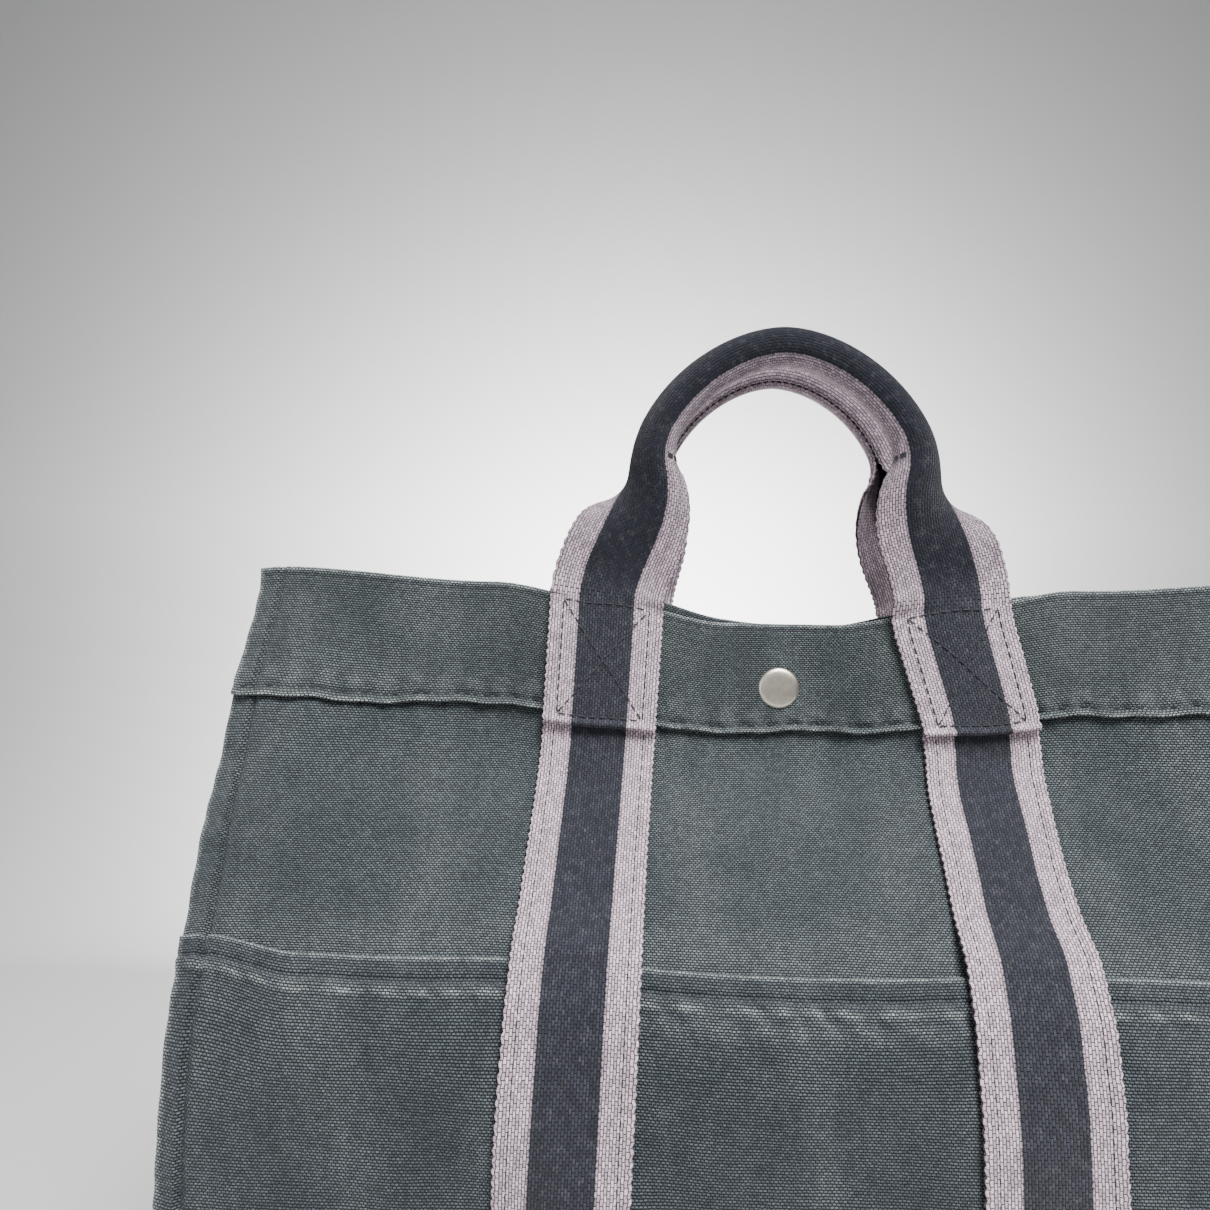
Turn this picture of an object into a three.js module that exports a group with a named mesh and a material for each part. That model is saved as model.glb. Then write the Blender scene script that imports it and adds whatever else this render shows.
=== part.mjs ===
// Canvas tote bag with two striped webbing handles. Units are millimetres, +Z is up, the front faces -Y.
import * as THREE from 'three';

// Body
const HALF_WIDTH = 184.8;
const HALF_DEPTH = 66;
const FOLD_HEIGHT = 196;
const UPPER_LENGTH = 165;
const CANVAS = 1.2;
const GAP = 0.35;
const STRAP_GAP = 0.6;
const FOLD_GAP = 0.6;
const UNDERSIDE = 2.15;

// Lean of the upper wall: steep above the fold line, upright in the top band
const SLOPE_LEAN = 38.5 * Math.PI / 180;
const BAND_LEAN = 1.5 * Math.PI / 180;
const SLOPE_END = 75;
const BAND_START = 112;
const PROFILE_STEPS = 60;
const CROSS_LINES = [20, 35, 52, 68, 82, 94, 106, 113, 117, 127, 139, 152];
const WALL_CELLS = 30;

// Wave of the closed mouth at [distance from the middle, outward push] and the sag of its top edge
const MOUTH_WAVE = [[0, -3.6], [65, 9], [125, 4], [185, 3.5]];
const MOUTH_SAG = [[0, 22], [20, 22], [65, 14], [105, 6.5], [185, 0]];
const WAVE_POWER = 1.6;

// The pinched corner seams stay almost straight, so the wall stands forward of the fold towards its sides
const CORNER_PUSH = 18;
const CORNER_START = 80;
const CORNER_MIDDLE = 80;

// Trim
const BAND_HEIGHT = 48;
const BAND_THICKNESS = 1.5;
const POCKET_HEM = 20;
const SEAM_INNER = 185.1;
const SEAM_OUTER = 196;
const SEAM_HALF_THICKNESS = 1.1;
const FOLD_DEPTH = 72;
const INNER_SIDE = 183.8;
const CREASE_GAP = 0.2;

// Straps and handles
const STRAP_WIDTH = 40;
const STRAP_THICKNESS = 1.8;
const STRAP_CENTRE_TOP = 65;
const STRAP_CENTRE_FOLD = 72;
const TAB_OVERLAP = 4;
const HANDLE_RISE = 98;
const ARCH_RADIUS = 47.5;
const LEG_SLICES = 8;
const ARCH_SLICES = 18;
const GRIP_WRAP = 318 * Math.PI / 180;
const GRIP_TWIST = 72 * Math.PI / 180;
const HANDLE_INWARD = 6;
const CORE_RADIUS = 5.3;
const CORE_SIDES = 8;

// Snap fastener
const SNAP_DROP = 31.5;
const CAP_RADIUS = 7.5;
const CAP_THICKNESS = 1.4;
const SOCKET_RADIUS = 5.5;
const SOCKET_THICKNESS = 1.5;
const WALL_CLEARANCE = 0.55;
const STUD_RADIUS = 2;

const canvasMaterial = new THREE.MeshStandardMaterial({ color: 0x565e62, roughness: 0.95, metalness: 0 });
const bandMaterial = new THREE.MeshStandardMaterial({ color: 0x5a6265, roughness: 0.95, metalness: 0 });
const webbingMaterial = new THREE.MeshStandardMaterial({ color: 0x7c747c, roughness: 0.85, metalness: 0 });
const coreMaterial = new THREE.MeshStandardMaterial({ color: 0x8f8788, roughness: 0.9, metalness: 0 });
const nickelMaterial = new THREE.MeshStandardMaterial({ color: 0xc9c3b6, roughness: 0.35, metalness: 1 });

function smooth(t) {
  const k = Math.min(Math.max(t, 0), 1);
  return k * k * (3 - 2 * k);
}

// Eases between the rows of a [position, value] list
function along(rows, position) {
  const x = Math.abs(position);
  for (let i = 1; i < rows.length; i += 1) {
    const [x0, v0] = rows[i - 1];
    const [x1, v1] = rows[i];
    if (x <= x1) {
      return v0 + (v1 - v0) * smooth((x - x0) / (x1 - x0));
    }
  }
  return rows[rows.length - 1][1];
}

function leanAt(u) {
  const k = smooth((u - SLOPE_END) / (BAND_START - SLOPE_END));
  return SLOPE_LEAN + (BAND_LEAN - SLOPE_LEAN) * k;
}

// Inward travel and rise of the upper wall after a distance s from the fold line
function profile(s) {
  const step = s / PROFILE_STEPS;
  let inward = 0;
  let rise = 0;
  for (let i = 0; i < PROFILE_STEPS; i += 1) {
    const lean = leanAt((i + 0.5) * step);
    inward += Math.sin(lean) * step;
    rise += Math.cos(lean) * step;
  }
  return { inward, rise };
}

// Forward push of the wall at x, a distance u above the fold line
function cornerPush(x, u) {
  const beside = smooth((Math.abs(x) - CORNER_START) / (HALF_WIDTH - CORNER_START));
  const above = 1 - smooth((u - CORNER_MIDDLE) / (UPPER_LENGTH - CORNER_MIDDLE));
  return CORNER_PUSH * beside * Math.min(smooth(u / CORNER_MIDDLE), above);
}

// Wall surfaces: x across, height or distance up the cloth, n outward from the panel's outer face
function lowerWall(x, z, n) {
  return new THREE.Vector3(x, -(HALF_DEPTH + n), z);
}

function upperWall(x, u, n, sagAt = x) {
  const part = u / UPPER_LENGTH;
  const s = u - along(MOUTH_SAG, sagAt) * part * part;
  const { inward, rise } = profile(s);
  const lean = leanAt(s);
  const wave = along(MOUTH_WAVE, x) * Math.pow(Math.max(part, 0), WAVE_POWER);
  const y = -HALF_DEPTH + inward - wave - cornerPush(x, u) - n * Math.cos(lean);
  return new THREE.Vector3(x, y, FOLD_HEIGHT + rise + n * Math.sin(lean));
}

// Evenly spaced lines from start to end
function even(start, end, cells) {
  return Array.from({ length: cells + 1 }, (_, i) => start + (end - start) * i / cells);
}

// The shared cross lines of the upper wall between two distances above the fold line
function upTo(start, end) {
  return [start, ...CROSS_LINES.filter((line) => line > start + 1 && line < end - 1), end];
}

// One closed curved sheet: a box on lines a by lines b, from n[0] to n[1], carried through the surface
function sheet(name, material, a, b, n, surface) {
  const columns = a.length - 1;
  const rows = b.length - 1;
  const geometry = new THREE.BoxGeometry(1, 1, 1, columns, rows, 1);
  const points = geometry.attributes.position;
  for (let i = 0; i < points.count; i += 1) {
    const column = Math.round((points.getX(i) + 0.5) * columns);
    const row = Math.round((points.getY(i) + 0.5) * rows);
    const layer = Math.round(points.getZ(i) + 0.5);
    const place = surface(a[column], b[row], n[layer]);
    points.setXYZ(i, place.x, place.y, place.z);
  }
  geometry.computeVertexNormals();
  const mesh = new THREE.Mesh(geometry, material);
  mesh.name = name;
  return mesh;
}

// Metal piece turned about a line along Y at height z, from [radius, y] rows
function turned(name, z, rows) {
  const geometry = new THREE.LatheGeometry(rows.map(([radius, y]) => new THREE.Vector2(radius, y)), 20);
  geometry.translate(0, 0, z);
  const mesh = new THREE.Mesh(geometry, nickelMaterial);
  mesh.name = name;
  return mesh;
}

// Straps lean slightly apart on their way down
function strapCentre(u) {
  return STRAP_CENTRE_FOLD + (STRAP_CENTRE_TOP - STRAP_CENTRE_FOLD) * smooth(u / UPPER_LENGTH);
}

function frontPanels(side) {
  const wide = even(-HALF_WIDTH, HALF_WIDTH, WALL_CELLS);
  const ends = [-HALF_WIDTH, HALF_WIDTH];
  const lower = [UNDERSIDE, FOLD_HEIGHT - FOLD_GAP];
  const panel = [-CANVAS, 0];
  const pocket = [GAP, GAP + CANVAS];
  const band = [GAP, GAP + BAND_THICKNESS];
  const bandLines = upTo(UPPER_LENGTH - BAND_HEIGHT, UPPER_LENGTH);
  return [
    sheet(`${side}_panel_lower`, canvasMaterial, ends, lower, panel, lowerWall),
    sheet(`${side}_panel_upper`, canvasMaterial, wide, upTo(FOLD_GAP, UPPER_LENGTH), panel, upperWall),
    sheet(`${side}_pocket`, canvasMaterial, ends, lower, pocket, lowerWall),
    sheet(`${side}_pocket_hem`, bandMaterial, wide, upTo(FOLD_GAP, POCKET_HEM), pocket, upperWall),
    sheet(`${side}_band`, bandMaterial, wide, bandLines, band, upperWall),
  ];
}

function frontSeam(side, hand, sign) {
  const x = sign > 0 ? [SEAM_INNER, SEAM_OUTER] : [-SEAM_OUTER, -SEAM_INNER];
  const n = [-SEAM_HALF_THICKNESS, SEAM_HALF_THICKNESS];
  const lower = [UNDERSIDE, FOLD_HEIGHT - FOLD_GAP];
  return [
    sheet(`${side}_seam_${hand}_lower`, canvasMaterial, x, lower, n, lowerWall),
    sheet(`${side}_seam_${hand}_upper`, canvasMaterial, x, upTo(FOLD_GAP, UPPER_LENGTH - 1), n, upperWall),
  ];
}

function frontStraps(side, hand, sign) {
  const ends = [-STRAP_WIDTH / 2, STRAP_WIDTH / 2];
  const across = even(...ends, 4);
  const overPocket = GAP + CANVAS + STRAP_GAP;
  const overBand = GAP + BAND_THICKNESS + STRAP_GAP;
  const bandEdge = UPPER_LENGTH - BAND_HEIGHT;
  const onLower = (c, z, n) => lowerWall(sign * STRAP_CENTRE_FOLD + c, z, n);
  const onUpper = (c, u, n) => upperWall(sign * strapCentre(u) + c, u, n, STRAP_CENTRE_TOP);
  const body = [overPocket, overPocket + STRAP_THICKNESS];
  const tab = [overBand, overBand + STRAP_THICKNESS];
  const lower = [UNDERSIDE, FOLD_HEIGHT - FOLD_GAP];
  const upper = upTo(FOLD_GAP, bandEdge - TAB_OVERLAP - 0.5);
  const onBand = upTo(bandEdge - TAB_OVERLAP, UPPER_LENGTH);
  return [
    sheet(`${side}_strap_${hand}_lower`, webbingMaterial, ends, lower, body, onLower),
    sheet(`${side}_strap_${hand}_upper`, webbingMaterial, across, upper, body, onUpper),
    sheet(`${side}_handle_tab_${hand}`, webbingMaterial, across, onBand, tab, onUpper),
  ];
}

// The handle's middle line: two legs leaning together, then a half circle
function handleStations() {
  const seat = GAP + BAND_THICKNESS + STRAP_GAP + STRAP_THICKNESS / 2;
  const root = upperWall(STRAP_CENTRE_TOP, UPPER_LENGTH, seat);
  const archHeight = HANDLE_RISE - ARCH_RADIUS;
  const stations = [];
  const add = (x, rise, tx, tz) => {
    const up = smooth(rise / HANDLE_RISE);
    const point = new THREE.Vector3(x, root.y + HANDLE_INWARD * up, root.z + rise);
    const tangent = new THREE.Vector3(tx, 0, tz).normalize();
    stations.push({ point, tangent, roll: smooth((rise - 26) / 30) });
  };
  for (let i = 0; i < LEG_SLICES; i += 1) {
    const k = i / LEG_SLICES;
    const rise = 1 + (archHeight - 1) * k;
    const x = -STRAP_CENTRE_TOP + (STRAP_CENTRE_TOP - ARCH_RADIUS) * smooth(k);
    add(x, rise, (STRAP_CENTRE_TOP - ARCH_RADIUS) * 6 * k * (1 - k), archHeight);
  }
  for (let i = 0; i <= ARCH_SLICES; i += 1) {
    const angle = Math.PI * (1 - i / ARCH_SLICES);
    const x = ARCH_RADIUS * Math.cos(angle);
    add(x, archHeight + ARCH_RADIUS * Math.sin(angle), Math.sin(angle), -Math.cos(angle));
  }
  for (let i = LEG_SLICES - 1; i >= 0; i -= 1) {
    const k = i / LEG_SLICES;
    const rise = 1 + (archHeight - 1) * k;
    const x = STRAP_CENTRE_TOP - (STRAP_CENTRE_TOP - ARCH_RADIUS) * smooth(k);
    add(x, rise, (STRAP_CENTRE_TOP - ARCH_RADIUS) * 6 * k * (1 - k), -archHeight);
  }
  return stations;
}

// Frame of one station: n points out of the webbing's middle, b runs across it
function stationFrame(station) {
  const front = new THREE.Vector3(0, -1, 0);
  const outward = new THREE.Vector3().crossVectors(front, station.tangent).normalize();
  const twist = GRIP_TWIST * station.roll;
  const n = front.clone().multiplyScalar(Math.cos(twist)).addScaledVector(outward, Math.sin(twist));
  const b = new THREE.Vector3().crossVectors(station.tangent, n).normalize();
  return { n, b };
}

// Webbing that lies flat on the legs and wraps round the core along the arch
function handleWebbing(name, stations) {
  const surface = (across, position, offset) => {
    const station = stations[position];
    const { n, b } = stationFrame(station);
    const wrap = Math.max(GRIP_WRAP * station.roll, 0.02);
    const radius = STRAP_WIDTH / wrap;
    const angle = across / radius;
    const seat = station.roll * STRAP_WIDTH / GRIP_WRAP;
    return station.point.clone()
      .addScaledVector(n, (radius + offset) * Math.cos(angle) - radius + seat)
      .addScaledVector(b, (radius + offset) * Math.sin(angle));
  };
  const across = even(-STRAP_WIDTH / 2, STRAP_WIDTH / 2, 8);
  const thickness = [-STRAP_THICKNESS / 2, STRAP_THICKNESS / 2];
  const last = stations.length - 1;
  return sheet(name, webbingMaterial, across, even(0, last, last), thickness, surface);
}

function gripCore(name, stations) {
  const inside = stations.filter((station) => station.roll > 0.97);
  const ring = (index, angle, radius) => {
    const { n, b } = stationFrame(inside[index]);
    return inside[index].point.clone()
      .addScaledVector(n, radius * Math.cos(angle))
      .addScaledVector(b, radius * Math.sin(angle));
  };
  const positions = [];
  const triangle = (p, q, r) => positions.push(...p.toArray(), ...q.toArray(), ...r.toArray());
  for (let i = 0; i < inside.length - 1; i += 1) {
    for (let k = 0; k < CORE_SIDES; k += 1) {
      const a0 = 2 * Math.PI * k / CORE_SIDES;
      const a1 = 2 * Math.PI * ((k + 1) % CORE_SIDES) / CORE_SIDES;
      const p = ring(i, a0, CORE_RADIUS);
      const q = ring(i, a1, CORE_RADIUS);
      const r = ring(i + 1, a1, CORE_RADIUS);
      const s = ring(i + 1, a0, CORE_RADIUS);
      triangle(p, q, r);
      triangle(p, r, s);
    }
  }
  for (let k = 0; k < CORE_SIDES; k += 1) {
    const a0 = 2 * Math.PI * k / CORE_SIDES;
    const a1 = 2 * Math.PI * ((k + 1) % CORE_SIDES) / CORE_SIDES;
    const last = inside.length - 1;
    triangle(ring(0, a1, CORE_RADIUS), ring(0, a0, CORE_RADIUS), ring(0, 0, 0));
    triangle(ring(last, a0, CORE_RADIUS), ring(last, a1, CORE_RADIUS), ring(last, 0, 0));
  }
  const geometry = new THREE.BufferGeometry();
  geometry.setAttribute('position', new THREE.Float32BufferAttribute(positions, 3));
  geometry.computeVertexNormals();
  const mesh = new THREE.Mesh(geometry, coreMaterial);
  mesh.name = name;
  return mesh;
}

function baseParts() {
  const halfY = HALF_DEPTH - CANVAS - 0.4;
  const flat = (x, y, z) => new THREE.Vector3(x, y, z);
  const reach = HALF_DEPTH + GAP + CANVAS + STRAP_GAP + STRAP_THICKNESS;
  const floor = [UNDERSIDE, UNDERSIDE + CANVAS];
  const halfX = INNER_SIDE - 0.5;
  const parts = [sheet('base_panel', canvasMaterial, [-halfX, halfX], [-halfY, halfY], floor, flat)];
  for (const [hand, sign] of [['left', -1], ['right', 1]]) {
    const x = [sign * STRAP_CENTRE_FOLD - STRAP_WIDTH / 2, sign * STRAP_CENTRE_FOLD + STRAP_WIDTH / 2];
    const strap = [0, STRAP_THICKNESS];
    parts.push(sheet(`base_strap_${hand}`, webbingMaterial, x, [-reach, reach], strap, flat));
  }
  return parts;
}

// Half width and depth of the side fold at a distance u above the fold line
function sideFold(u) {
  const corner = upperWall(HALF_WIDTH, u, -CANVAS);
  return { halfWidth: -corner.y - 0.4, depth: FOLD_DEPTH * u / UPPER_LENGTH, z: corner.z };
}

// One half of the folded side: k from the crease (0) to the corner seam (1), d outward from its inner face
function foldedHalf(half, k, u, d) {
  const { halfWidth, depth, z } = sideFold(u);
  const slant = Math.hypot(halfWidth, depth);
  const sine = halfWidth / slant;
  const cosine = depth / slant;
  const edge = { x: -INNER_SIDE - d * sine, y: halfWidth - d * cosine };
  const crease = -INNER_SIDE + depth - d / sine;
  const y = CREASE_GAP + (edge.y - CREASE_GAP) * k;
  return new THREE.Vector3(crease + (edge.x - crease) * k, half * y, z);
}

function leftSide() {
  const bandEdge = UPPER_LENGTH - BAND_HEIGHT;
  const lower = [UNDERSIDE, FOLD_HEIGHT - FOLD_GAP];
  const halfY = HALF_DEPTH - CANVAS - 0.4;
  const flatSide = (y, z, d) => new THREE.Vector3(-INNER_SIDE - d, -y, z);
  const cloth = [0, CANVAS];
  const onTop = [CANVAS + STRAP_GAP, CANVAS + STRAP_GAP + BAND_THICKNESS];
  const fold = upTo(FOLD_GAP, UPPER_LENGTH);
  const band = upTo(bandEdge, UPPER_LENGTH - 0.7);
  const parts = [sheet('left_gusset_lower', canvasMaterial, [-halfY, halfY], lower, cloth, flatSide)];
  for (const [side, half, lines] of [['front', -1, even(0, 1, 7)], ['back', 1, even(1, 0, 7)]]) {
    const surface = (k, u, d) => foldedHalf(half, k, u, d);
    parts.push(sheet(`left_gusset_${side}_fold`, canvasMaterial, lines, fold, cloth, surface));
    parts.push(sheet(`left_gusset_${side}_band`, bandMaterial, lines, band, onTop, surface));
  }
  return parts;
}

// The snap's four metal pieces share one line along Y through both bands
function snapParts() {
  const z = upperWall(0, UPPER_LENGTH - SNAP_DROP, 0).z;
  const face = -upperWall(0, UPPER_LENGTH - SNAP_DROP, GAP + BAND_THICKNESS).y;
  const inner = -upperWall(0, UPPER_LENGTH - SNAP_DROP, -CANVAS).y;
  const rim = -upperWall(CAP_RADIUS, UPPER_LENGTH - SNAP_DROP - CAP_RADIUS, GAP + BAND_THICKNESS).y;
  const cap = Math.max(face, rim) + 0.15;
  const disc = (y) => [[0, y], [CAP_RADIUS, y], [CAP_RADIUS, y + CAP_THICKNESS], [0, y + CAP_THICKNESS]];
  const bore = STUD_RADIUS + 0.35;
  const near = -inner + WALL_CLEARANCE;
  const far = inner - WALL_CLEARANCE;
  const socket = turned('snap_socket', z, [
    [bore, near],
    [SOCKET_RADIUS, near],
    [SOCKET_RADIUS, near + SOCKET_THICKNESS],
    [bore, near + SOCKET_THICKNESS],
    [bore, near],
  ]);
  const stud = turned('snap_stud', z, [
    [0, near + 0.3],
    [STUD_RADIUS, near + 0.3],
    [STUD_RADIUS, far - 0.8],
    [SOCKET_RADIUS, far - 0.8],
    [SOCKET_RADIUS, far],
    [0, far],
  ]);
  return [
    turned('snap_cap', z, disc(-cap - CAP_THICKNESS)),
    socket,
    stud,
    turned('snap_post_cap', z, disc(cap)),
  ];
}

function frontHalf(side, near, far) {
  const stations = handleStations();
  const handle = side === 'front' ? 'front_handle' : 'rear_handle';
  return [
    ...frontPanels(side),
    ...frontSeam(side, near, -1),
    ...frontSeam(side, far, 1),
    ...frontStraps(side, near, -1),
    ...frontStraps(side, far, 1),
    handleWebbing(handle, stations),
    gripCore(`${handle}_core`, stations),
  ];
}

// Half a turn about Z
function rotated(meshes) {
  for (const mesh of meshes) {
    mesh.geometry.scale(-1, -1, 1);
  }
  return meshes;
}

function rightSide() {
  const meshes = rotated(leftSide());
  for (const mesh of meshes) {
    mesh.name = mesh.name.replace('left', 'right')
      .replace('front', 'turned').replace('back', 'front').replace('turned', 'back');
  }
  return meshes;
}

function buildBag() {
  const bag = new THREE.Group();
  bag.name = 'tote_bag';
  bag.add(...frontHalf('front', 'left', 'right'));
  bag.add(...rotated(frontHalf('back', 'right', 'left')));
  bag.add(...leftSide());
  bag.add(...rightSide());
  bag.add(...baseParts());
  bag.add(...snapParts());
  return bag;
}

export default buildBag();
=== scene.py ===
"""Canvas tote bag with striped webbing handles: its looks, light and camera.

Sizes are in millimetres until a mesh is made.
"""
import math

import bpy
import numpy as np
from mathutils import Matrix, Vector


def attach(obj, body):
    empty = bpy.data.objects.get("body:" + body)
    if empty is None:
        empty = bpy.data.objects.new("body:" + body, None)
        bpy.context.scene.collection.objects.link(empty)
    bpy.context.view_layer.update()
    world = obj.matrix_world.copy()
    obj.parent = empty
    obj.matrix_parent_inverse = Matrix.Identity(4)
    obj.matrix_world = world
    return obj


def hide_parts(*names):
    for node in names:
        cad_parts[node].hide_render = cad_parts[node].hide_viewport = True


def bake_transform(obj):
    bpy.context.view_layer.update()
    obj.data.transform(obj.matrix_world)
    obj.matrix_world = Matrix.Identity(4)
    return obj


MM = 0.001

# Body, on the CAD part's sizes
SIDE_X = 184.8
SEAM_X = 196.0
SEAM_STITCH_X = 186.6
SEAM_SLANT = 0.35
HALF_DEPTH = 66.0
FOLD_Z = 196.0
UPPER = 165.0
TOP_V = FOLD_Z + UPPER
FLOOR_GAP = 2.15
SLOPE_LEAN = math.radians(38.5)
BAND_LEAN = math.radians(1.5)
FOLD_ROUND = 28.0
SLOPE_END = 75.0
BAND_START = 112.0
# Shape of the cloth, near the CAD part's but pushed further out beside the corner seams
MOUTH_WAVE = ((0, -3.6), (65, 9), (125, 4), (196, 3.5))
MOUTH_SAG = ((0, 23), (20, 23), (65, 15.5), (105, 9.5), (185, 5), (196, 5.5))
WAVE_POWER = 1.6
SAG_POWER = 1.25
FULLNESS = 4.5
CORNER_PUSH = 25.0
CORNER_START = 80.0
TOP_NARROWING = 2.0
BACK_LIFT = 6.0
BACK_LIFT_X = 47.0
BACK_LIFT_REACH = 50.0
CORNER_MIDDLE = 90.0

# Cloth and trim
BAND_HEIGHT = 48.0
HEM_TOP = 20.0
HEM_HEIGHT = 10.8
HEM_V = FOLD_Z + HEM_TOP
RIDGE_V = HEM_V - HEM_HEIGHT
HEM_STITCH = 3.5
BAND_V = TOP_V - BAND_HEIGHT
BAND_LOW_STITCH = 3.6
BAND_TOP_STITCH = 2.6
CREASE_DEPTH = 72.0
SIDE_REACH = HALF_DEPTH - 1.9
STRAP = 40.0
STRAP_LOW_X = 72.0
TAB_END = 113.0
TAB_LENGTH = UPPER - TAB_END
TAB_LIFT = 4.1
STRAP_STITCH = 16.2
# Middle line of each front strap at a height up the cloth
LEFT_STRAP = ((0, -73.5), (150, -71.5), (246, -68.2), (315, -65.2), (361, -63.2))
RIGHT_STRAP = ((0, 71), (135, 70), (200, 69), (229, 70), (309, 71), (361, 58))
STRAP_EASE = 8.0

# Handles
HANDLE_RISE = 94.5
ARCH_HALF_WIDTH = 49.5
ARCH_HEIGHT = 49.0
ARCH_POINTEDNESS = 1.12
GRIP_WRAP = math.radians(350)
GRIP_TWIST = math.radians(55)
HANDLE_INWARD = 8.0
BAR_TACK = 56.0
ROLL_START = 15.0
ROLL_LENGTH = 49.0
WEB_THICKNESS = 1.7

# Snap
SNAP_DROP = 28.0
SNAP_RADIUS = 7.5

# Thread
THREAD_RADIUS = 0.26
STITCH_PITCH = 3.7
STITCH_LENGTH = 2.7


def smooth(t):
    k = np.clip(t, 0, 1)
    return k * k * (3 - 2 * k)


def bump(t):
    """1 at t = 0, falling smoothly to 0 at t = 1 and beyond."""
    return 1 - smooth(np.abs(t))


def along(rows, x):
    x = np.abs(np.asarray(x, float))
    value = np.full_like(x, rows[-1][1])
    for (x0, v0), (x1, v1) in reversed(list(zip(rows, rows[1:]))):
        value = np.where(x <= x1, v0 + (v1 - v0) * smooth((x - x0) / (x1 - x0)), value)
    return value


def profile_table():
    """Distance up the cloth from the fold, and the inward travel, rise and lean there."""
    s = np.linspace(-230, 200, 4301)
    step = s[1] - s[0]
    lean = SLOPE_LEAN * smooth((s + FOLD_ROUND) / (2 * FOLD_ROUND))
    lean = lean + (BAND_LEAN - SLOPE_LEAN) * smooth((s - SLOPE_END) / (BAND_START - SLOPE_END))
    inward = np.cumsum(np.sin(lean)) * step
    rise = np.cumsum(np.cos(lean)) * step
    zero = int(np.argmin(np.abs(s)))
    return s, inward - inward[zero], rise - rise[zero], lean


PROFILE = profile_table()


def ripple(x, v):
    """Low, irregular unevenness of washed cloth."""
    a = np.sin(x * 0.043 + 0.021 * v + 0.6) * np.sin(v * 0.051 + 1.1)
    b = np.sin(x * 0.097 - v * 0.033 + 2.0) * np.sin(v * 0.083 + x * 0.02)
    c = np.sin(x * 0.19 + v * 0.14) * np.sin(v * 0.17 - x * 0.08 + 0.5)
    slant = np.sin((0.8 * np.abs(x) - 0.6 * v) * 0.12 + 1.3 * np.sin(v * 0.03 + x * 0.01))
    where = np.clip(np.sin(x * 0.026 + 0.4) * np.sin(v * 0.024 + 0.9) + 0.35, 0, 1)
    return 0.9 * a + 0.5 * b + 0.2 * c + 1.1 * slant * where


def corner_push(x, u):
    """The pinched corner seams stay almost straight, so the wall stands forward towards its sides."""
    beside = smooth((np.abs(x) - CORNER_START) / (SIDE_X - CORNER_START))
    above = 1 - smooth((u - CORNER_MIDDLE) / (UPPER - CORNER_MIDDLE))
    return CORNER_PUSH * beside * np.minimum(smooth(u / CORNER_MIDDLE), above)


def wall(x, v, n):
    """Point of the front wall: x across, v up the cloth from the floor, n outward from the panel."""
    x = np.asarray(x, float)
    v = np.asarray(v, float)
    u = v - FOLD_Z
    part = np.clip(u / UPPER, 0, None)
    s = u - along(MOUTH_SAG, x) * part ** SAG_POWER
    table_s, table_in, table_rise, table_lean = PROFILE
    inward = np.interp(s, table_s, table_in)
    rise = np.interp(s, table_s, table_rise)
    lean = np.interp(s, table_s, table_lean)
    out = along(MOUTH_WAVE, x) * part ** WAVE_POWER
    out = out + FULLNESS * (1 - (x / SEAM_X) ** 2) * np.sin(np.pi * np.clip(v / 250, 0, 1))
    out = out + corner_push(x, u)
    out = out + ripple(x, v) * smooth(v / 40) * (1 - 0.65 * smooth((u - 100) / 30))
    groove = 2.2 * bump((np.abs(x) - SEAM_STITCH_X) / 2.4)
    beyond = np.clip(np.abs(x) - SEAM_STITCH_X, 0, None)
    ruck = 0.35 * np.sin(v * 0.42 + 1.5 * np.sin(v * 0.09)) * smooth(beyond / 4)
    n = n - groove - SEAM_SLANT * beyond + ruck
    x = x - np.sign(x) * TOP_NARROWING * smooth((u - 115) / 50) * smooth((np.abs(x) - 150) / 40)
    y = -HALF_DEPTH + inward - out - n * np.cos(lean)
    return np.stack([x, y, FOLD_Z + rise + n * np.sin(lean)], -1)


def strap_x(v, sign):
    """Middle line of the left (-1) or right (1) strap at a height up the cloth."""
    heights, places = np.array(LEFT_STRAP if sign < 0 else RIGHT_STRAP).T
    return sum(np.interp(v + d, heights, places) for d in (-STRAP_EASE, 0, STRAP_EASE)) / 3


def lines(start, end, step, edge=1.2):
    """Grid lines with close ones at both ends, where a sheet's edge is rounded."""
    near = np.array([0, 0.12, 0.35, 0.7, 1.0]) * edge
    count = max(int(round((end - start - 2 * edge) / step)), 1)
    middle = np.linspace(start + edge, end - edge, count + 1)
    return np.unique(np.concatenate([start + near, middle, end - near]))


def wall_lines(step):
    """Lines across the whole wall, closer together along the two corner seams."""
    inner = SIDE_X - 4.0
    seam = np.arange(inner, SEAM_X - 1.2, 0.7)
    end = SEAM_X - np.array([1.0, 0.7, 0.35, 0.12, 0.0]) * 1.2
    middle = np.linspace(-inner, inner, int(2 * inner / step) + 1)
    side = np.concatenate([seam[1:], end])
    return np.concatenate([-side[::-1], middle, side])


def edge_round(values, edge=1.2):
    """0 at the two ends of the lines, 1 from the edge distance on: a quarter-round shoulder."""
    d = np.minimum(values - values[0], values[-1] - values) / edge
    return np.sqrt(1 - (1 - np.clip(d, 0, 1)) ** 2)


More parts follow.
